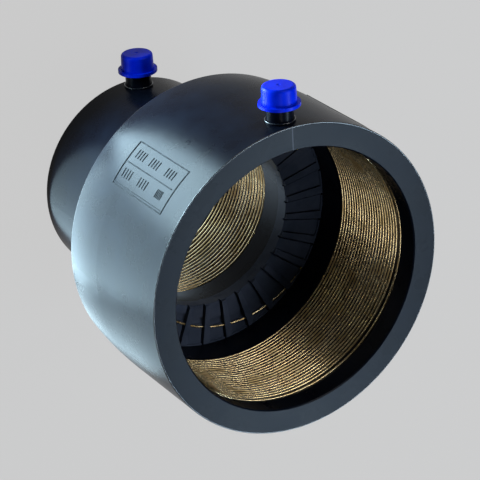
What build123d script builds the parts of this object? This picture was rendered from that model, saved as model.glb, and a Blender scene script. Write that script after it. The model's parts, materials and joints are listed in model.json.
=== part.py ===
from build123d import *
import math
import os

# Electrofusion reducing coupler, a 160 mm socket above a 110 mm socket, in millimetres.
# It stands on its small mouth. Z is the axis of both sockets, and both terminals face -Y.

# Sockets
LENGTH = 190.0            # small mouth to large mouth
LARGE_BORE_R = 80.7       # for a pipe of 160 mm
LARGE_WALL = 14.8
LARGE_DEPTH = 98.0        # large mouth to the segment ring
SMALL_BORE_R = 55.5       # for a pipe of 110 mm
SMALL_WALL = 9.0
MOUTH_CHAMFER = 0.7

# Shoulder between the two outer walls
SHOULDER_TAPER = 2.6      # how much narrower the large wall is at the shoulder's edge
SHOULDER_BEND = 36.0      # length of the large wall's bend above that edge
SHOULDER_DROP = 5.0       # from the segment ring down to the shoulder's edge
SHOULDER_FALL = 15.0      # from the shoulder's edge down to the small wall
SHOULDER_EDGE_R = 1.5     # rounding of the shoulder's edge
SHOULDER_ROOT_R = 6.0     # rounding where the shoulder meets the small wall

# Pipe stop below the segment ring
STOP_STEP = 1.3           # how far the stop stands in from the small bore
STOP_LENGTH = 9.0

# Segment ring, the flat face between the two bores
PADS = 30
PAD_START = 10.0          # angle of the first groove, in degrees
PAD_SHARE = 0.33          # raised share of each pad
PAD_STEP = 1.6            # height of the raised share beside its groove
PAD_LIP = 1.1             # height of the raised share at its other side, over the wire
PAD_SLOPE = 3.2           # length of the slope between the two heights
PAD_INSET = 0.5           # from the pipe stop's edge back to the raised share
PAD_ROOT = 1.0            # how deep the raised share is rooted in the ring
PAD_RIM = 1.2             # plain rim between the pads and the large wall
GROOVE_WIDTH = 1.2
GROOVE_DEPTH = 3.4

# Heating wire
WIRE_D = 1.4
RIDGE = 0.45              # how far each turn stands out of the wall
LARGE_PITCH = 2.73
LARGE_COLD = 13.3         # large mouth to the first turn
LARGE_APART = 1.9         # extra room between the first turn and the rest
LARGE_INNER_COLD = 16.0   # segment ring to the last turn, at least
SMALL_PITCH = 3.22
SMALL_COLD = 11.5         # small mouth to the first turn
SMALL_INNER_COLD = 17.0   # pipe stop to the last turn, at least
COVER = 0.6               # plastic over the wire where it runs inside the wall
CHANNEL_GAP = 0.05        # between the crossing wire and its square channel, all round

# Wire's crossing between the two coils, an arc in the segment ring
CROSS_SPARE = 0.4         # how far the arc would pass the two wall runs that it joins
CROSS_TOWARDS = 169.0     # direction of the arc's centre, in degrees
CROSS_RISE = 0.1          # wire's centre above the pads' low faces
POCKET_WIDTH = 5.0        # pocket beside the wire, measured along the radius
POCKET_DEPTH = 1.6

# Terminals
LARGE_TERMINAL = 12.7     # large mouth to the terminal's axis
SMALL_TERMINAL = 11.2     # small mouth to the terminal's axis
SHROUD_R = 8.0
SHROUD_WALL = 2.4
SHROUD_HEIGHT = 16.0      # above the wall it stands on
SHROUD_FLOOR = 1.6        # floor of the shroud above that wall
COLLAR_R = 8.9
COLLAR_HEIGHT = 1.0
PIN_R = 2.35
PIN_TOP = 12.5            # pin's tip above the wall
PIN_CHAMFER = 0.7
FLANGE_R = 3.6
FLANGE_THICKNESS = 1.6
FLANGE_SHARE = 0.45       # flange's depth as a share of the pin's depth in the wall

# Caps
CAP_GAP = 0.05            # between the cap and the shroud, all round
CAP_WALL = 2.1
CAP_TAPER = 0.4           # how much narrower the cap is at its top
CAP_BRIM = 2.0            # how far the brim stands out
BRIM_THICKNESS = 1.9
BRIM_HEIGHT = 9.3         # brim above the wall
CAP_TOP = 21.3            # cap's top above the wall
CAP_CEILING = 1.6
CAP_EDGE = 1.8            # rounding of the cap's top edge
DIMPLE_R = 1.4
DIMPLE_DEPTH = 0.4

# Radii and heights that follow from the sizes above
LARGE_OUTER_R = LARGE_BORE_R + LARGE_WALL
SMALL_OUTER_R = SMALL_BORE_R + SMALL_WALL
RING_Z = LENGTH - LARGE_DEPTH
LOW_Z = RING_Z - PAD_STEP
STOP_Z = RING_Z - STOP_LENGTH
EDGE_Z = RING_Z - SHOULDER_DROP
ROOT_Z = EDGE_Z - SHOULDER_FALL
EDGE_R = LARGE_OUTER_R - SHOULDER_TAPER
BEND_Z = EDGE_Z + SHOULDER_BEND
STOP_R = SMALL_BORE_R - STOP_STEP
RIM_R = LARGE_BORE_R - PAD_RIM
WIRE_R = WIRE_D / 2
WIRE_Z = LOW_Z + CROSS_RISE
LARGE_RUN_R = LARGE_BORE_R + COVER + WIRE_R
SMALL_RUN_R = SMALL_BORE_R + COVER + WIRE_R
CROSS_R = (LARGE_RUN_R + SMALL_RUN_R) / 2
CROSS_OFFSET = (LARGE_RUN_R - SMALL_RUN_R) / 2 + CROSS_SPARE


def turns(room, pitch):
    """Number of turns whose wires fit in a length of bore."""
    return int((room - WIRE_D) / pitch) + 1


LARGE_TURNS = turns(LARGE_DEPTH - LARGE_COLD - LARGE_INNER_COLD - LARGE_APART, LARGE_PITCH)
SMALL_TURNS = turns(STOP_Z - SMALL_COLD - SMALL_INNER_COLD, SMALL_PITCH)
LARGE_COIL_TOP = LENGTH - LARGE_COLD
LARGE_COIL_END = LARGE_COIL_TOP - LARGE_APART - (LARGE_TURNS - 1) * LARGE_PITCH - WIRE_D
SMALL_COIL_END = SMALL_COLD + (SMALL_TURNS - 1) * SMALL_PITCH + WIRE_D


def spun(*points):
    """Solid of revolution about Z from (radius, height) corners."""
    return revolve(Plane.XZ * make_face(Polyline(*points, close=True)), Axis.Z)


def ring(inner_r, outer_r, low_z, high_z):
    """Plain ring between two radii and two heights."""
    return spun((inner_r, low_z), (outer_r, low_z), (outer_r, high_z), (inner_r, high_z))


def at_angle(shape, degrees):
    """A shape turned about Z."""
    return Rot(0, 0, degrees) * shape


def cross_angle(radius):
    """Angle about Z at which the crossing's arc is at this distance from the axis."""
    cosine = (radius ** 2 + CROSS_OFFSET ** 2 - CROSS_R ** 2) / (2 * radius * CROSS_OFFSET)
    return CROSS_TOWARDS - math.degrees(math.acos(cosine))


def cross_point(degrees):
    """Point of the crossing's arc at an angle about Z."""
    turn = math.radians(degrees - CROSS_TOWARDS)
    across = CROSS_OFFSET * math.sin(turn)
    radius = CROSS_OFFSET * math.cos(turn) + math.sqrt(CROSS_R ** 2 - across ** 2)
    angle = math.radians(degrees)
    return Vector(radius * math.cos(angle), radius * math.sin(angle), WIRE_Z)


def shell():
    """Moulded wall of both sockets, with the segment ring's low face and the pipe stop."""
    bend = TangentArc((LARGE_OUTER_R, BEND_Z), (EDGE_R, EDGE_Z), tangent=(0, -1))
    rest = Polyline(
        (EDGE_R, EDGE_Z),
        (SMALL_OUTER_R, ROOT_Z),
        (SMALL_OUTER_R, MOUTH_CHAMFER),
        (SMALL_OUTER_R - MOUTH_CHAMFER, 0),
        (SMALL_BORE_R, 0),
        (SMALL_BORE_R, STOP_Z - STOP_STEP),
        (STOP_R, STOP_Z),
        (STOP_R, LOW_Z),
        (RIM_R, LOW_Z),
        (RIM_R, RING_Z),
        (LARGE_BORE_R, RING_Z),
        (LARGE_BORE_R, LENGTH - MOUTH_CHAMFER),
        (LARGE_BORE_R + MOUTH_CHAMFER, LENGTH),
        (LARGE_OUTER_R - MOUTH_CHAMFER, LENGTH),
        (LARGE_OUTER_R, LENGTH - MOUTH_CHAMFER),
        (LARGE_OUTER_R, BEND_Z),
    )
    wall = revolve(Plane.XZ * make_face([bend, rest]), Axis.Z)
    wall = fillet(circle_at(wall, EDGE_R, EDGE_Z), SHOULDER_EDGE_R)
    return fillet(circle_at(wall, SMALL_OUTER_R, ROOT_Z), SHOULDER_ROOT_R)


def circle_at(solid, radius, height):
    """Round edges of a solid at a radius and a height."""
    rounds = solid.edges().filter_by(GeomType.CIRCLE)
    return rounds.filter_by(
        lambda e: abs(e.radius - radius) < 0.01 and abs(e.arc_center.Z - height) < 0.01
    )


def sector(inner_r, outer_r, start, turn):
    """Flat sector of a ring that turns by an angle from its start, both in degrees."""
    reach = 1.2 * outer_r
    side = reach * math.tan(math.radians(turn / 2))
    wedge = make_face(Polyline((0, 0), (reach, -side), (reach, side), close=True))
    return at_angle((Circle(outer_r) - Circle(inner_r)) & wedge, start + turn / 2)


def pads():
    """Raised share of every pad, rooted in the ring and its rim, sloping down over the wire."""
    step = 360 / PADS
    turn = step * PAD_SHARE
    flat = sector(STOP_R + PAD_INSET, RIM_R + PAD_RIM / 2, -turn, turn)
    block = Pos(0, 0, LOW_Z - PAD_ROOT) * extrude(flat, PAD_STEP + PAD_ROOT)
    fall = PAD_STEP - PAD_LIP
    corners = (-2 * PAD_SLOPE, RING_Z + fall), (PAD_SLOPE, RING_Z - 2 * fall), (PAD_SLOPE, RING_Z + fall)
    over = extrude(Plane.YZ * make_face(Polyline(*corners, close=True)), LARGE_BORE_R)
    pad = block - over
    return [at_angle(pad, PAD_START + step * i + turn) for i in range(PADS)]


def grooves():
    """Radial grooves that part the pads."""
    inner_r = STOP_R - GROOVE_WIDTH
    length = LARGE_BORE_R - PAD_RIM / 3 - inner_r
    middle = Pos(inner_r + length / 2, 0, RING_Z - GROOVE_DEPTH / 2)
    groove = middle * Box(length, GROOVE_WIDTH, GROOVE_DEPTH)
    step = 360 / PADS
    return [at_angle(groove, PAD_START + step * i) for i in range(PADS)]


def pockets():
    """Pocket in the low share of each pad that the wire crosses, on the wire's inner side."""
    step = 360 / PADS
    turn = step * (1 - PAD_SHARE)
    first = cross_angle(STOP_R + POCKET_WIDTH + WIRE_R)
    last = cross_angle(RIM_R - WIRE_R)
    cuts = []
    for i in range(PADS):
        start = (PAD_START + step * i) % 360 + step * PAD_SHARE
        if start < first or start + turn > last:
            continue
        near = cross_point(start)
        radius = math.hypot(near.X, near.Y)
        flat = sector(radius - POCKET_WIDTH, radius, start, turn)
        cuts.append(Pos(0, 0, LOW_Z - POCKET_DEPTH) * extrude(flat, POCKET_DEPTH + PAD_STEP))
    return cuts


def coil(bore_r, heights):
    """Wound turns of one socket: crests flush with the bore, backs seated in its wall."""
    back = bore_r + WIRE_D
    valley = bore_r + RIDGE
    corners = [(back, heights[0] - WIRE_R), (valley, heights[0] - WIRE_R)]
    for height, following in zip(heights, heights[1:]):
        corners += [(bore_r, height), (valley, (height + following) / 2)]
    corners += [(bore_r, heights[-1]), (valley, heights[-1] + WIRE_R), (back, heights[-1] + WIRE_R)]
    return spun(*corners)


def wall_run(radius, degrees, low_z, high_z):
    """Straight wire inside a socket's wall, with a round end at the segment ring."""
    angle = math.radians(degrees)
    foot = Pos(radius * math.cos(angle), radius * math.sin(angle), 0)
    rod = foot * Pos(0, 0, (low_z + high_z) / 2) * Cylinder(WIRE_R, high_z - low_z)
    return rod + foot * Pos(0, 0, WIRE_Z) * Sphere(WIRE_R)


def along_ring(section):
    """A section carried along the crossing's arc in the segment ring."""
    high = cross_angle(LARGE_RUN_R)
    low = cross_angle(SMALL_RUN_R)
    arc = ThreePointArc(cross_point(high), cross_point((high + low) / 2), cross_point(low))
    start = Plane(origin=arc @ 0, x_dir=(0, 0, 1), z_dir=arc % 0)
    return sweep(start * section, path=arc)


def wall_runs():
    """The crossing's two straight ends, one inside each socket's wall."""
    down = wall_run(LARGE_RUN_R, cross_angle(LARGE_RUN_R), WIRE_Z, LARGE_COIL_END + WIRE_R)
    up = wall_run(SMALL_RUN_R, cross_angle(SMALL_RUN_R), SMALL_COIL_END - WIRE_R, WIRE_Z)
    return down + up


def channel():
    """Square channel for the crossing wire in the segment ring."""
    side = WIRE_D + 2 * CHANNEL_GAP
    return along_ring(Rectangle(side, side))


def facing(wall_r, height):
    """Frame of a terminal, Z outwards from the wall it stands on."""
    return Plane(origin=(0, -wall_r, height), x_dir=(1, 0, 0), z_dir=(0, -1, 0))


def turned(frame, *points):
    """Solid of revolution about a terminal's axis from (radius, height) corners."""
    return frame * spun(*points)


def shroud(frame):
    """Round shroud and its collar, rooted in the wall."""
    root = -COLLAR_R ** 2 / SMALL_OUTER_R
    return turned(
        frame,
        (0, root),
        (COLLAR_R, root),
        (COLLAR_R, COLLAR_HEIGHT),
        (SHROUD_R, COLLAR_HEIGHT),
        (SHROUD_R, SHROUD_HEIGHT),
        (0, SHROUD_HEIGHT),
    )


def shroud_well(frame):
    """Space inside the shroud, round the contact pin."""
    inner = SHROUD_R - SHROUD_WALL
    return turned(frame, (0, SHROUD_FLOOR), (inner, SHROUD_FLOOR), (inner, SHROUD_HEIGHT), (0, SHROUD_HEIGHT))


def contact_pin(frame, foot_depth):
    """Contact pin from the coil's back to its chamfered tip, with a flange moulded into the wall."""
    flange_foot = -foot_depth * FLANGE_SHARE
    return turned(
        frame,
        (0, -foot_depth),
        (PIN_R, -foot_depth),
        (PIN_R, flange_foot),
        (FLANGE_R, flange_foot),
        (FLANGE_R, flange_foot + FLANGE_THICKNESS),
        (PIN_R, flange_foot + FLANGE_THICKNESS),
        (PIN_R, PIN_TOP - PIN_CHAMFER),
        (PIN_R - PIN_CHAMFER, PIN_TOP),
        (0, PIN_TOP),
    )


def cap(frame):
    """Push-on cap with a brim, seated on the shroud's top."""
    bore = SHROUD_R + CAP_GAP
    foot = bore + CAP_WALL
    top = foot - CAP_TAPER
    ledge = SHROUD_R - SHROUD_WALL / 2
    solid = spun(
        (bore, BRIM_HEIGHT),
        (foot + CAP_BRIM, BRIM_HEIGHT),
        (foot + CAP_BRIM, BRIM_HEIGHT + BRIM_THICKNESS),
        (foot, BRIM_HEIGHT + BRIM_THICKNESS),
        (top, CAP_TOP),
        (DIMPLE_R, CAP_TOP),
        (0, CAP_TOP - DIMPLE_DEPTH),
        (0, CAP_TOP - CAP_CEILING),
        (ledge, CAP_TOP - CAP_CEILING),
        (ledge, SHROUD_HEIGHT),
        (bore, SHROUD_HEIGHT),
    )
    return frame * fillet(circle_at(solid, top, CAP_TOP), CAP_EDGE)


LARGE_FRAME = facing(LARGE_OUTER_R, LENGTH - LARGE_TERMINAL)
SMALL_FRAME = facing(SMALL_OUTER_R, SMALL_TERMINAL)
LARGE_PIN = contact_pin(LARGE_FRAME, LARGE_WALL - WIRE_D)
SMALL_PIN = contact_pin(SMALL_FRAME, SMALL_WALL - WIRE_D)
WALL_RUNS = wall_runs()


def body():
    """One-piece moulding: sockets, segment ring, terminals and the seats of wire and pins."""
    solid = shell() + pads()
    solid -= grooves()
    solid -= pockets()
    solid += [shroud(LARGE_FRAME), shroud(SMALL_FRAME)]
    solid -= [shroud_well(LARGE_FRAME), shroud_well(SMALL_FRAME)]
    solid -= ring(LARGE_BORE_R - WIRE_D, LARGE_BORE_R + WIRE_D, LARGE_COIL_END, LARGE_COIL_TOP)
    solid -= ring(SMALL_BORE_R - WIRE_D, SMALL_BORE_R + WIRE_D, SMALL_COLD, SMALL_COIL_END)
    return solid - [channel(), WALL_RUNS, LARGE_PIN, SMALL_PIN]


def heating_wire():
    """Heating wire: both coils and the crossing between them."""
    large = [LARGE_COIL_END + WIRE_R + LARGE_PITCH * i for i in range(LARGE_TURNS - 1)]
    large.append(LARGE_COIL_TOP - WIRE_R)
    small = [SMALL_COLD + WIRE_R + SMALL_PITCH * i for i in range(SMALL_TURNS)]
    coils = coil(LARGE_BORE_R, large) + coil(SMALL_BORE_R, small)
    return coils + along_ring(Circle(WIRE_R)) + WALL_RUNS


NODES = {
    "coupler_body": body(),
    "heating_wire": heating_wire(),
    "contact_pin_large": LARGE_PIN,
    "contact_pin_small": SMALL_PIN,
    "terminal_cap_large": cap(LARGE_FRAME),
    "terminal_cap_small": cap(SMALL_FRAME),
}

os.makedirs("parts", exist_ok=True)
for name, solid in NODES.items():
    solid.label = name
    export_step(solid, f"parts/{name}.step")
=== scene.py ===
import json
import math

import bpy
import numpy as np
from mathutils import Matrix, Quaternion, Vector


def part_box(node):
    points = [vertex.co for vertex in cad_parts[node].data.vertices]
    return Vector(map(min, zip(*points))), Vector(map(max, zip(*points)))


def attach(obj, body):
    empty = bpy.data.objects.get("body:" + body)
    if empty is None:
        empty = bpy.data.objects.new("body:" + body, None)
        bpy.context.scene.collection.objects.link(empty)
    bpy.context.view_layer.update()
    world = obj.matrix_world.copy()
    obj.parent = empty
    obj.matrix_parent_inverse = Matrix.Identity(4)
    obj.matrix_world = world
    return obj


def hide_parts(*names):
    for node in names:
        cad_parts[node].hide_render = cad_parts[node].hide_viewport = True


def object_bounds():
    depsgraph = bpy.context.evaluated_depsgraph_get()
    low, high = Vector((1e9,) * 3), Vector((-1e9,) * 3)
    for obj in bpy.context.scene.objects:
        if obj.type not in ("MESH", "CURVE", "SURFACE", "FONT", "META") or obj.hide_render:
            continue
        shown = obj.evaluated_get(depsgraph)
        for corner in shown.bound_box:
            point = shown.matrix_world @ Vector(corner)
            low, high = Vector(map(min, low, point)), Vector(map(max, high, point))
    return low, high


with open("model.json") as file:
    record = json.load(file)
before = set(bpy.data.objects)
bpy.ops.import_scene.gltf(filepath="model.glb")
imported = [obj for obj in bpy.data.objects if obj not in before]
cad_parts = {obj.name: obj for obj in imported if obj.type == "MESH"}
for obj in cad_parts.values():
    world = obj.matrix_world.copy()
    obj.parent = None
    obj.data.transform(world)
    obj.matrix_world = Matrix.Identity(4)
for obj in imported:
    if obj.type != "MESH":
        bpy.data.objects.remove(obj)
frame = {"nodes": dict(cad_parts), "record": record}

# Electrofusion reducing coupler. It stands on its small mouth, with its axis along Z and both
# terminals towards -Y. Lengths are in metres. CAD_BOX is the whole part's box before dressing.
CAD_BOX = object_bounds()
NODES = frame["nodes"]
MOUNTS = {mount["name"]: mount for mount in frame["record"]["mounts"]}

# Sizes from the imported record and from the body's own box
LARGE_BORE = MOUNTS["large_socket"]["dims"]["r_mm"] / 1000
SMALL_BORE = MOUNTS["small_socket"]["dims"]["r_mm"] / 1000
RIM_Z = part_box("coupler_body")[1][2]
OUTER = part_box("coupler_body")[1][0]
SMALL_WALL = 0.009                  # thickness of the small socket's wall
SMALL_OUTER = SMALL_BORE + SMALL_WALL

# Zones of the body that its material tints: painted light on the segment ring, and a weld line
PAINTED_LIGHT_FOOT = 0.08                    # painted light on the segment ring starts above this height
PAINTED_LIGHT_REACH = LARGE_BORE - 0.0004    # and ends at this radius
WELD_WIDTH = 0.0007                 # of the faint weld line on the large mouth's face
WELD_FOOT = RIM_Z - 0.0002          # it starts above this height

# Heating wire: wound turns of both sockets
WIRE = 0.0014                       # diameter
LARGE_PITCH = 0.00273
LARGE_TURNS = 24
LARGE_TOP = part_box("heating_wire")[1][2]
SMALL_PITCH = 0.00322
SMALL_TURNS = 17
SMALL_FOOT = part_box("heating_wire")[0][2]
FIRST_TURN_APART = 0.0019           # extra room between the outermost turn and the rest
BED_DEPTH = 0.00055                 # plastic between the turns, behind the bore's wall
BED_EASE = 0.0004                   # height of the slope at each end of the bed
SEAT_DEPTH = 0.0014                 # depth of the seat that holds wire and bed
TURN_STEPS = 150                    # path points in one turn

# Heating wire: the arc through the segment ring, from wall to wall
CROSS_Z = 0.0905                    # height of the wire's centre
RUN_DEPTH = 0.0013                  # from a bore to the wire's centre inside its wall
CROSS_FROM = LARGE_BORE + RUN_DEPTH
CROSS_TO = SMALL_BORE + RUN_DEPTH
CROSS_SPARE = 0.0004                # how far the arc would pass both of those radii
CROSS_TOWARDS = math.radians(169)   # direction of the arc's centre

# Marking panels on both sides of the large wall, with no lettering. Angles are degrees about Z.
# A place is a share of the panel's turn, then a share of its height.
PANEL_ANGLES = {"left": (-53.7, -36.5), "right": (-143.5, -126.3)}
PANEL_HEIGHTS = (0.1165, 0.1712)
PANEL_LINE = 0.0006                 # width of its lines
PANEL_RELIEF = 0.00025              # how far they stand out
PANEL_ROOT = 0.0003                 # how deep their feet are sunk in the wall
PANEL_STEPS = 24                    # points along a line
PANEL_MIDDLE = 0.48                 # middle line, as a share of the turn
MIDDLE_GAPS = (0.002, 0.0025)       # from its ends to the frame
FINE_LINE = 0.6 * PANEL_LINE        # of the frame's foot and the hatch
SILL_LINE = 0.5 * PANEL_LINE
SILL_ANGLE = 0.9                    # from the lower edge up to the thin line beside it
TICK_ROWS = ((0.24, (0.1, 0.38, 0.7)), (0.7, (0.08, 0.4)))
TICK_LINE = 0.8 * PANEL_LINE
TICKS = 4                           # in each group
TICK_STEP = 0.0027
TICK_REACH = 1.7                    # angle from a tick's middle to its end
HATCH_PLACE = (0.7, 0.76)
HATCH_BARS = 5
HATCH_STEP = 0.0014
HATCH_REACH = 1.6                   # angle from a bar's middle to its end

# Beads on the large mouth's edge and on the feet of both terminals
EDGE = 0.00045                      # radius of the mouth's bead
EDGE_INSET = 1.1 * EDGE             # from the corner back to the bead's centre
FOOT_REACH = 0.0086                 # from the pin's axis to the bead's centre
FOOT_RISE = 0.0008                  # from the wall to the bead's centre
BEAD = 0.0004                       # radius of a foot's bead
BEAD_SIDES = 14

# Floor: its own colour, the even grey that it shows, and the share of that grey in it
FLOOR_COLOUR = (0.62, 0.62, 0.62, 1)
FLOOR_GREY = (0.604, 0.604, 0.604, 1)
FLOOR_SHARE = 0.96
FLOOR_REACH = 4                     # from the axis to each side
FLOOR_DROP = 0.0002                 # below the part's lowest point

# Camera, round a point near the part's middle
TARGET = Vector((-0.01109, 0.00903, 0.10638))
AZIMUTH = math.radians(46.68)
ELEVATION = math.radians(51.41)
ROLL = math.radians(123.3)
DISTANCE = 1.4385
LENS = 178.8


# ---------------------------------------------------------------- surfaces

def surface(name, points, closed_along, closed_across, material):
    """Mesh of quads over a grid of points.

    points has shape (along, across, 3). Cell (i, j) joins point (i, j) to its next neighbours,
    and the last row or column joins the first where that direction is closed.
    """
    rows, columns = points.shape[:2]
    along = np.arange(rows if closed_along else rows - 1)
    across = np.arange(columns if closed_across else columns - 1)
    i, j = np.meshgrid(along, across, indexing="ij")
    i_next, j_next = (i + 1) % rows, (j + 1) % columns
    corners = (i * columns + j, i_next * columns + j,
               i_next * columns + j_next, i * columns + j_next)
    quads = np.stack(corners, axis=-1).reshape(-1, 4)
    mesh = bpy.data.meshes.new(name)
    mesh.vertices.add(rows * columns)
    mesh.vertices.foreach_set("co", points.reshape(-1))
    mesh.loops.add(quads.size)
    mesh.loops.foreach_set("vertex_index", quads.reshape(-1))
    mesh.polygons.add(len(quads))
    mesh.polygons.foreach_set("loop_start", np.arange(len(quads)) * 4)
    mesh.polygons.foreach_set("use_smooth", np.ones(len(quads), dtype=bool))
    mesh.update(calc_edges=True)
    mesh.materials.append(material)
    piece = bpy.data.objects.new(name, mesh)
    bpy.context.scene.collection.objects.link(piece)
    return piece


def tube_points(path, inward, radius, sides):
    """Round tube along a path.

    Each ring is centred on its path point, in the plane of the inward direction and the
    direction square to both it and the path: centre + radius * (cos t * inward + sin t * side).
    """
    tangent = np.gradient(path, axis=0)
    tangent /= np.linalg.norm(tangent, axis=1, keepdims=True)
    inward = inward - tangent * np.sum(inward * tangent, axis=1, keepdims=True)
    inward /= np.linalg.norm(inward, axis=1, keepdims=True)
    side = np.cross(inward, tangent)
    turn = np.linspace(0, 2 * np.pi, sides, endpoint=False)[None, :, None]
    return path[:, None] + radius * (np.cos(turn) * inward[:, None] + np.sin(turn) * side[:, None])


def closed_ends(rings):
    """Tube rings with one more ring at each end, drawn in to the end's centre."""
    first = np.repeat(rings[:1].mean(axis=1, keepdims=True), rings.shape[1], axis=1)
    last = np.repeat(rings[-1:].mean(axis=1, keepdims=True), rings.shape[1], axis=1)
    return np.concatenate([first, rings, last])


def spun_points(profile, steps):
    """Surface of revolution about Z: the (radius, height) profile at evenly spaced angles."""
    turn = np.linspace(0, 2 * np.pi, steps, endpoint=False)[:, None]
    radius, height = profile[:, 0][None], profile[:, 1][None]
    return np.stack([radius * np.cos(turn), radius * np.sin(turn), height + 0 * turn], axis=-1)


# ---------------------------------------------------------------- materials

def new_material(name):
    """Material with an empty node tree but for a Principled shader wired to its output."""
    material = bpy.data.materials.new(name)
    material.use_nodes = True
    nodes = material.node_tree.nodes
    return material, nodes, material.node_tree.links, nodes["Principled BSDF"]


def noise(nodes, links, scale, detail):
    """Noise over Object coordinates; scale is in cells per metre."""
    texture = nodes.new("ShaderNodeTexNoise")
    texture.inputs["Scale"].default_value = scale
    texture.inputs["Detail"].default_value = detail
    links.new(nodes.new("ShaderNodeTexCoord").outputs["Object"], texture.inputs["Vector"])
    return texture.outputs["Fac"]


def ramp(nodes, links, value, low, high, dark, light):
    """Colour that goes from dark at low to light at high."""
    node = nodes.new("ShaderNodeValToRGB")
    node.color_ramp.elements[0].position = low
    node.color_ramp.elements[0].color = (*dark, 1)
    node.color_ramp.elements[1].position = high
    node.color_ramp.elements[1].color = (*light, 1)
    links.new(value, node.inputs["Fac"])
    return node.outputs["Color"]


def spread(nodes, links, value, low, high):
    """A 0 to 1 value spread between two numbers."""
    node = nodes.new("ShaderNodeMapRange")
    node.inputs["To Min"].default_value = low
    node.inputs["To Max"].default_value = high
    links.new(value, node.inputs["Value"])
    return node.outputs["Result"]


def maths(nodes, links, operation, first, second=None):
    """One Math node; each input is a socket or a plain number."""
    node = nodes.new("ShaderNodeMath")
    node.operation = operation
    for socket, value in zip(node.inputs, (first, second)):
        if isinstance(value, (int, float)):
            socket.default_value = value
        elif value is not None:
            links.new(value, socket)
    return node.outputs["Value"]


def bump(nodes, links, height, distance, strength):
    """Bump from a height."""
    node = nodes.new("ShaderNodeBump")
    node.inputs["Strength"].default_value = strength
    node.inputs["Distance"].default_value = distance
    links.new(height, node.inputs["Height"])
    return node.outputs["Normal"]


def coordinates(nodes, links):
    """Object coordinates, as three sockets."""
    split = nodes.new("ShaderNodeSeparateXYZ")
    links.new(nodes.new("ShaderNodeTexCoord").outputs["Object"], split.inputs["Vector"])
    return [split.outputs[axis] for axis in "XYZ"]


def painted_ring_light_zone(nodes, links):
    """1 on the segment ring inside the large bore, where a paler colour is painted light; 0
    elsewhere.
    """
    x, y, z = coordinates(nodes, links)
    reach = maths(nodes, links, "ADD", maths(nodes, links, "MULTIPLY", x, x),
                  maths(nodes, links, "MULTIPLY", y, y))
    inside = maths(nodes, links, "LESS_THAN", reach, PAINTED_LIGHT_REACH ** 2)
    raised = maths(nodes, links, "GREATER_THAN", z, PAINTED_LIGHT_FOOT)
    return maths(nodes, links, "MULTIPLY", inside, raised)


def weld_zone(nodes, links):
    """1 on the radial weld line across the large mouth's face, beside the terminal, 0 elsewhere."""
    x, y, z = coordinates(nodes, links)
    near = maths(nodes, links, "LESS_THAN", maths(nodes, links, "ABSOLUTE", x), WELD_WIDTH / 2)
    front = maths(nodes, links, "LESS_THAN", y, -LARGE_BORE)
    face = maths(nodes, links, "GREATER_THAN", z, WELD_FOOT)
    return maths(nodes, links, "MULTIPLY", maths(nodes, links, "MULTIPLY", near, front), face)


def overlay(nodes, links, share, under, over):
    """Colour that goes from under to over with a share; over is a socket or a plain colour."""
    node = nodes.new("ShaderNodeMix")
    node.data_type = "RGBA"
    links.new(share, node.inputs["Factor"])
    links.new(under, node.inputs["A"])
    if isinstance(over, tuple):
        node.inputs["B"].default_value = (*over, 1)
    else:
        links.new(over, node.inputs["B"])
    return node.outputs["Result"]


def polyethylene(name):
    """Black moulded polyethylene: soft mottling, faint grain, painted light on the segment ring, a
    weld line.
    """
    material, nodes, links, shader = new_material(name)
    mottle = noise(nodes, links, 60, 4)
    grain = noise(nodes, links, 1400, 3)
    wall = ramp(nodes, links, mottle, 0.3, 0.7, (0.0015, 0.002, 0.0045), (0.003, 0.0045, 0.009))
    # painted light: a paler, bluish colour on the segment ring stands in for light that the lamps
    # don't bring into the bore
    ring = ramp(nodes, links, mottle, 0.3, 0.7, (0.03, 0.042, 0.07), (0.055, 0.07, 0.11))
    wall_and_ring_light = overlay(nodes, links, painted_ring_light_zone(nodes, links), wall, ring)
    welded = overlay(nodes, links, weld_zone(nodes, links), wall_and_ring_light, (0.05, 0.055, 0.07))
    links.new(welded, shader.inputs["Base Color"])
    links.new(spread(nodes, links, mottle, 0.24, 0.32), shader.inputs["Roughness"])
    links.new(bump(nodes, links, grain, 0.00012, 0.35), shader.inputs["Normal"])
    shader.inputs["Specular IOR Level"].default_value = 0.04
    return material


def wire_metal(name):
    """Drawn resistance wire: warm brass, with dull patches."""
    material, nodes, links, shader = new_material(name)
    patches = noise(nodes, links, 90, 3)
    links.new(ramp(nodes, links, patches, 0.3, 0.7, (0.44, 0.31, 0.14), (0.76, 0.64, 0.39)),
              shader.inputs["Base Color"])
    links.new(spread(nodes, links, patches, 0.3, 0.24), shader.inputs["Roughness"])
    shader.inputs["Metallic"].default_value = 1
    return material


def turned_brass(name):
    """Contact brass: yellow and bright, with tarnished patches and a fine grain."""
    material, nodes, links, shader = new_material(name)
    tarnish = noise(nodes, links, 220, 3)
    grain = noise(nodes, links, 3000, 1)
    links.new(ramp(nodes, links, tarnish, 0.35, 0.7, (0.6, 0.45, 0.2), (0.82, 0.68, 0.38)),
              shader.inputs["Base Color"])
    links.new(spread(nodes, links, tarnish, 0.32, 0.2), shader.inputs["Roughness"])
    links.new(bump(nodes, links, grain, 0.00004, 0.3), shader.inputs["Normal"])
    shader.inputs["Metallic"].default_value = 1
    return material


def cap_plastic(name):
    """Saturated blue moulded caps: satin, with slight tone changes and a fine grain."""
    material, nodes, links, shader = new_material(name)
    tone = noise(nodes, links, 130, 3)
    grain = noise(nodes, links, 2500, 2)
    links.new(ramp(nodes, links, tone, 0.3, 0.7, (0.0, 0.01, 0.44), (0.0, 0.02, 0.6)),
              shader.inputs["Base Color"])
    links.new(spread(nodes, links, tone, 0.28, 0.4), shader.inputs["Roughness"])
    links.new(bump(nodes, links, grain, 0.00005, 0.25), shader.inputs["Normal"])
    shader.inputs["Specular IOR Level"].default_value = 0.05
    return material


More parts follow.
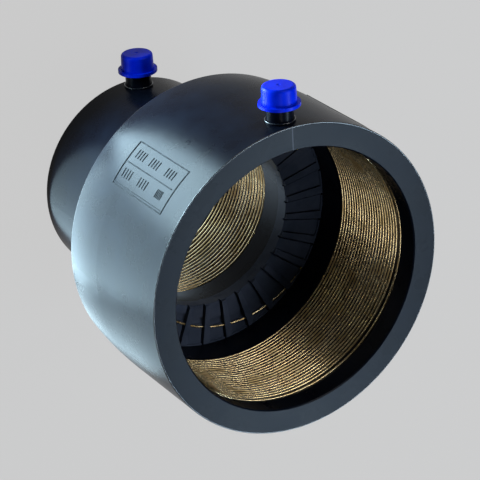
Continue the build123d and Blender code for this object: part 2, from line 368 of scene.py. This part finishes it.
def worn_polyethylene(name):
    """Black polyethylene of the panels' raised lines: dull, and rubbed grey in places."""
    material, nodes, links, shader = new_material(name)
    rubbed = noise(nodes, links, 420, 4)
    links.new(ramp(nodes, links, rubbed, 0.45, 0.8, (0.004, 0.005, 0.007), (0.02, 0.025, 0.03)),
              shader.inputs["Base Color"])
    links.new(spread(nodes, links, rubbed, 0.85, 0.6), shader.inputs["Roughness"])
    shader.inputs["Specular IOR Level"].default_value = 0.1
    return material


def rubbed_polyethylene(name):
    """Black polyethylene of the edge beads: smooth and shiny from handling."""
    material, nodes, links, shader = new_material(name)
    rubbed = noise(nodes, links, 300, 3)
    links.new(ramp(nodes, links, rubbed, 0.3, 0.7, (0.006, 0.008, 0.011), (0.015, 0.018, 0.023)),
              shader.inputs["Base Color"])
    links.new(spread(nodes, links, rubbed, 0.18, 0.28), shader.inputs["Roughness"])
    return material


# ---------------------------------------------------------------- marking panels on the large wall

def line_points(from_angle, from_z, to_angle, to_z, width, height):
    """Raised line on the large wall, straight in angle and height.

    Its section is a low trapezium whose feet are sunk in the wall: the radius is OUTER + height
    over the flat top and OUTER - PANEL_ROOT at the two feet, which spread a little.
    """
    share = np.linspace(0, 1, PANEL_STEPS)[:, None]
    angle = np.radians(from_angle + (to_angle - from_angle) * share)
    level = from_z + (to_z - from_z) * share
    run = np.array([OUTER * math.radians(to_angle - from_angle), to_z - from_z])
    run /= np.hypot(*run)
    half = 0.5 * width
    spread_half = half + PANEL_ROOT / 2
    across = np.array([-spread_half, -half, half, spread_half])[None]
    radius = OUTER + np.array([-PANEL_ROOT, height, height, -PANEL_ROOT])[None]
    angle = angle - run[1] * across / OUTER
    level = level + run[0] * across
    return np.stack([radius * np.cos(angle), radius * np.sin(angle), level], axis=-1)


def raised_line(name, start, end, width, material):
    """One raised line of a panel, from (angle, z) to (angle, z), closed and flat-faced."""
    rings = closed_ends(line_points(*start, *end, width, PANEL_RELIEF))
    line = surface(name, rings, False, True, material)
    line.data.polygons.foreach_set("use_smooth", np.zeros(len(line.data.polygons), dtype=bool))
    return line


def panel(side, material):
    """Frame of one marking panel, its middle line, rows of ticks and a small hatched square."""
    left, right = PANEL_ANGLES[side]
    low, high = PANEL_HEIGHTS
    middle = left + PANEL_MIDDLE * (right - left)
    ends = {
        "panel_frame_upper": ((left, low), (left, high), PANEL_LINE),
        "panel_frame_lower": ((right, low), (right, high), PANEL_LINE),
        "panel_frame_sill": ((right - SILL_ANGLE, low), (right - SILL_ANGLE, high), SILL_LINE),
        "panel_frame_mouth": ((left, high), (right, high), PANEL_LINE),
        "panel_frame_foot": ((left, low), (right, low), FINE_LINE),
        "panel_middle": (
            (middle, low + MIDDLE_GAPS[0]), (middle, high - MIDDLE_GAPS[1]), PANEL_LINE),
    }
    for row, (across, groups) in enumerate(TICK_ROWS):
        angle = left + across * (right - left)
        for group, along in enumerate(groups):
            for tick in range(TICKS):
                z = low + along * (high - low) + TICK_STEP * tick
                ends[f"panel_tick_{row}_{group}_{tick}"] = (
                    (angle - TICK_REACH, z), (angle + TICK_REACH, z), TICK_LINE)
    angle = left + HATCH_PLACE[0] * (right - left)
    for bar in range(HATCH_BARS):
        z = low + HATCH_PLACE[1] * (high - low) + HATCH_STEP * bar
        ends[f"panel_hatch_{bar}"] = ((angle - HATCH_REACH, z), (angle + HATCH_REACH, z), FINE_LINE)
    for name, (start, end, width) in ends.items():
        line = raised_line(f"{name}_{side}", start, end, width, material)
        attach(line, "root")


# ---------------------------------------------------------------- beads on the edges

def edge_bead(material):
    """Rounded outer edge of the large mouth: a circle of radius EDGE spun about the axis."""
    turn = np.linspace(0, 2 * np.pi, BEAD_SIDES, endpoint=False)
    profile = np.stack([OUTER - EDGE_INSET + EDGE * np.cos(turn),
                        RIM_Z - EDGE_INSET + EDGE * np.sin(turn)], axis=1)
    bead = surface("mouth_edge_bead", spun_points(profile, steps=360), True, True, material)
    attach(bead, "root")


def foot_bead(end, wall, material):
    """Rounded bead on the edge of one terminal's foot: a ring about the contact pin's axis.

    Its section is a circle of radius BEAD, whose centre runs round at FOOT_REACH from the axis
    and FOOT_RISE above the wall.
    """
    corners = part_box(f"contact_pin_{end}")
    middle_x, middle_z = ((corners[0][axis] + corners[1][axis]) / 2 for axis in (0, 2))
    angle = np.linspace(0, 2 * np.pi, 120, endpoint=False)[:, None]
    turn = np.linspace(0, 2 * np.pi, BEAD_SIDES, endpoint=False)[None]
    reach = FOOT_REACH + BEAD * np.cos(turn)
    points = np.stack([
        middle_x + reach * np.cos(angle),
        0 * angle - wall - FOOT_RISE - BEAD * np.sin(turn),
        middle_z + reach * np.sin(angle),
    ], axis=-1)
    bead = surface(f"foot_bead_{end}", points, True, True, material)
    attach(bead, "root")


# ---------------------------------------------------------------- heating wire

def winding(name, bore, low_z, turns, pitch, apart, material):
    """Wound turns of one socket, as a helix: radius bore + WIRE / 2, height low_z + pitch * turn.

    Over the last turn the height gains apart, so the outermost turn stands off from the rest.
    """
    turn = np.linspace(0, turns - 1, (turns - 1) * TURN_STEPS + 1)
    angle = 2 * np.pi * turn - np.pi / 2
    radius = bore + WIRE / 2
    step = np.clip(turn - (turns - 2), 0, 1)
    height = low_z + pitch * turn + apart * step * step * (3 - 2 * step)
    path = np.stack([radius * np.cos(angle), radius * np.sin(angle), height], axis=1)
    inward = np.stack([-np.cos(angle), -np.sin(angle), 0 * angle], axis=1)
    rings = closed_ends(tube_points(path, inward, WIRE / 2, sides=10))
    return surface(name, rings, False, True, material)


def bed(name, bore, low_z, high_z, material):
    """Plastic that holds one socket's turns: a ring with its face BED_DEPTH behind the bore."""
    face = bore + BED_DEPTH
    profile = np.array([
        (bore + SEAT_DEPTH, low_z), (bore + SEAT_DEPTH, high_z), (bore, high_z),
        (face, high_z - BED_EASE), (face, low_z + BED_EASE), (bore, low_z),
    ])
    return surface(name, spun_points(profile, steps=256), True, True, material)


def crossing(name, material):
    """Wire through the segment ring: an arc about a centre that lies off the part's axis.

    The centre is offset by half the difference of the two wall runs' radii, plus CROSS_SPARE, and
    the arc's radius is the mean of the two. It starts and ends inside the walls.
    """
    arc_radius = (CROSS_FROM + CROSS_TO) / 2
    offset = (CROSS_FROM - CROSS_TO) / 2 + CROSS_SPARE
    ends = []
    for radius in (CROSS_FROM, CROSS_TO):
        cosine = (radius ** 2 - offset ** 2 - arc_radius ** 2) / (2 * offset * arc_radius)
        ends.append(CROSS_TOWARDS - math.acos(cosine))
    angle = np.linspace(ends[0], ends[1], 160)
    centre = offset * np.array([math.cos(CROSS_TOWARDS), math.sin(CROSS_TOWARDS)])
    away = np.stack([np.cos(angle), np.sin(angle), 0 * angle], axis=1)
    path = arc_radius * away + np.array([*centre, CROSS_Z])
    rings = closed_ends(tube_points(path, -away, WIRE / 2, sides=12))
    return surface(name, rings, False, True, material)


def heating_wire():
    """Both windings, their beds and the crossing, in place of the ridged sleeve."""
    metal = wire_metal("drawn_wire")
    plastic = polyethylene("winding_bed_plastic")
    large_low = LARGE_TOP - WIRE / 2 - (LARGE_TURNS - 1) * LARGE_PITCH - FIRST_TURN_APART
    small_high = SMALL_FOOT + WIRE + (SMALL_TURNS - 1) * SMALL_PITCH
    pieces = [
        winding("winding_large", LARGE_BORE, large_low, LARGE_TURNS, LARGE_PITCH,
                FIRST_TURN_APART, metal),
        winding("winding_small", SMALL_BORE, SMALL_FOOT + WIRE / 2, SMALL_TURNS, SMALL_PITCH,
                0, metal),
        crossing("wire_crossing", metal),
    ]
    beds = [
        bed("winding_bed_large", LARGE_BORE, large_low - WIRE / 2, LARGE_TOP, plastic),
        bed("winding_bed_small", SMALL_BORE, SMALL_FOOT, small_high, plastic),
    ]
    for piece in pieces:
        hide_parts("heating_wire")
        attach(piece, "root")
    for piece in beds:
        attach(piece, "root")


# ---------------------------------------------------------------- finishes of the CAD nodes

def dress(node, material):
    """The node's own mesh keeps its shape and gets this material in every slot."""
    piece = NODES[node]
    if not piece.material_slots:
        piece.data.materials.append(material)
    for material_slot in piece.material_slots:
        material_slot.material = material


# ---------------------------------------------------------------- stage, light and camera

def floor():
    """Large pale floor under the small mouth. It looks an even grey, and keeps a soft shadow."""
    material, nodes, links, shader = new_material("pale_floor")
    shader.inputs["Base Color"].default_value = FLOOR_COLOUR
    shader.inputs["Roughness"].default_value = 0.9
    even = nodes.new("ShaderNodeEmission")
    even.inputs["Color"].default_value = FLOOR_GREY
    seen = nodes.new("ShaderNodeLightPath")
    sight = maths(nodes, links, "ADD", seen.outputs["Is Camera Ray"], seen.outputs["Is Glossy Ray"])
    sight = maths(nodes, links, "ADD", sight, seen.outputs["Is Transmission Ray"])
    share = maths(nodes, links, "MULTIPLY", maths(nodes, links, "MINIMUM", sight, 1), FLOOR_SHARE)
    mix = nodes.new("ShaderNodeMixShader")
    links.new(share, mix.inputs["Fac"])
    links.new(shader.outputs["BSDF"], mix.inputs[1])
    links.new(even.outputs["Emission"], mix.inputs[2])
    links.new(mix.outputs["Shader"], nodes["Material Output"].inputs["Surface"])
    edge = np.linspace(-FLOOR_REACH, FLOOR_REACH, 3)
    x, y = np.meshgrid(edge, edge, indexing="ij")
    points = np.stack([x, y, 0 * x + CAD_BOX[0][2] - FLOOR_DROP], axis=-1)
    surface("floor", points, False, False, material)


def softbox(name, place, aim, width, height, power, tint=(1, 1, 1), turn=0):
    """Soft area lamp at a place, aimed at a point and turned in its own plane; not seen itself."""
    lamp = bpy.data.lights.new(name, "AREA")
    lamp.shape = "RECTANGLE"
    lamp.size = width
    lamp.size_y = height
    lamp.energy = power
    lamp.color = tint
    box = bpy.data.objects.new(name, lamp)
    box.location = place
    facing = (Vector(aim) - Vector(place)).to_track_quat("-Z", "Y")
    box.rotation_euler = (facing @ Quaternion((0, 0, 1), math.radians(turn))).to_euler()
    box.visible_camera = False
    bpy.context.scene.collection.objects.link(box)


def light():
    """Softboxes: high ones for the whole part, a strip for the rim, and low ones by the walls."""
    cool = (0.6, 0.8, 1)
    sheen = (0.6, 0.86, 1)
    softbox("above_left", (0.4, 0.58, 1.1), (0, 0, 0.14), 0.5, 0.4, 2)
    softbox("above_steep", (0.42, 0.45, 1.35), (0, 0, 0.1), 0.25, 0.25, 1.2)
    softbox("above_front", (-0.27, -1.08, 0.94), (0, 0, 0.14), 0.7, 0.3, 5)
    softbox("above_far", (-0.57, -0.13, 1.3), (0, 0, 0.14), 0.4, 0.4, 5)
    softbox("rim_strip", (-0.58, 0.51, 1.126), (0, 0, 0.19), 0.7, 0.11, 15, cool, 24)
    softbox("low_front", (0.18, -0.165, 0.012), (0.18, -0.165, 1), 0.22, 0.13, 4.8, sheen)
    softbox("low_side", (0.2, -0.0075, 0.012), (0.2, -0.0075, 1), 0.2, 0.165, 1.6, sheen)
    softbox("low_back", (0.17, 0.115, 0.012), (0.17, 0.115, 1), 0.22, 0.11, 0.33, sheen)
    softbox("low_near", (0.09, -0.02, 0.004), (0.09, -0.02, 1), 0.05, 0.14, 0.14, sheen)
    softbox("in_bore", (-0.013, 0.037, 0.002), (-0.013, 0.037, 1), 0.05, 0.03, 0.015, cool)
    world = bpy.data.worlds.new("studio")
    world.use_nodes = True
    world.node_tree.nodes["Background"].inputs["Color"].default_value = (0.5, 0.5, 0.5, 1)
    world.node_tree.nodes["Background"].inputs["Strength"].default_value = 0.06
    bpy.context.scene.world = world


def camera():
    """Camera at an azimuth and elevation round the target, rolled about its line of sight."""
    back = Vector((math.sin(AZIMUTH) * math.cos(ELEVATION),
                   -math.cos(AZIMUTH) * math.cos(ELEVATION), math.sin(ELEVATION)))
    level = Vector((math.cos(AZIMUTH), math.sin(AZIMUTH), 0))
    upright = back.cross(level)
    right = math.cos(ROLL) * level + math.sin(ROLL) * upright
    up = back.cross(right)
    lens = bpy.data.cameras.new("camera")
    lens.lens = LENS
    lens.sensor_width = 36
    lens.clip_end = 20
    view = bpy.data.objects.new("camera", lens)
    view.matrix_world = Matrix.Translation(TARGET + DISTANCE * back) @ Matrix(
        (right, up, back)).transposed().to_4x4()
    bpy.context.scene.collection.objects.link(view)
    bpy.context.scene.camera = view


heating_wire()
raised_plastic = worn_polyethylene("panel_line_plastic")
for side in PANEL_ANGLES:
    panel(side, raised_plastic)
rubbed_plastic = rubbed_polyethylene("edge_bead_plastic")
edge_bead(rubbed_plastic)
foot_bead("large", OUTER, rubbed_plastic)
foot_bead("small", SMALL_OUTER, rubbed_plastic)
dress("coupler_body", polyethylene("moulded_polyethylene"))
for end in ("large", "small"):
    dress(f"contact_pin_{end}", turned_brass(f"contact_brass_{end}"))
    dress(f"terminal_cap_{end}", cap_plastic(f"blue_cap_{end}"))
floor()
light()
camera()
bpy.context.scene.view_settings.view_transform = "Standard"
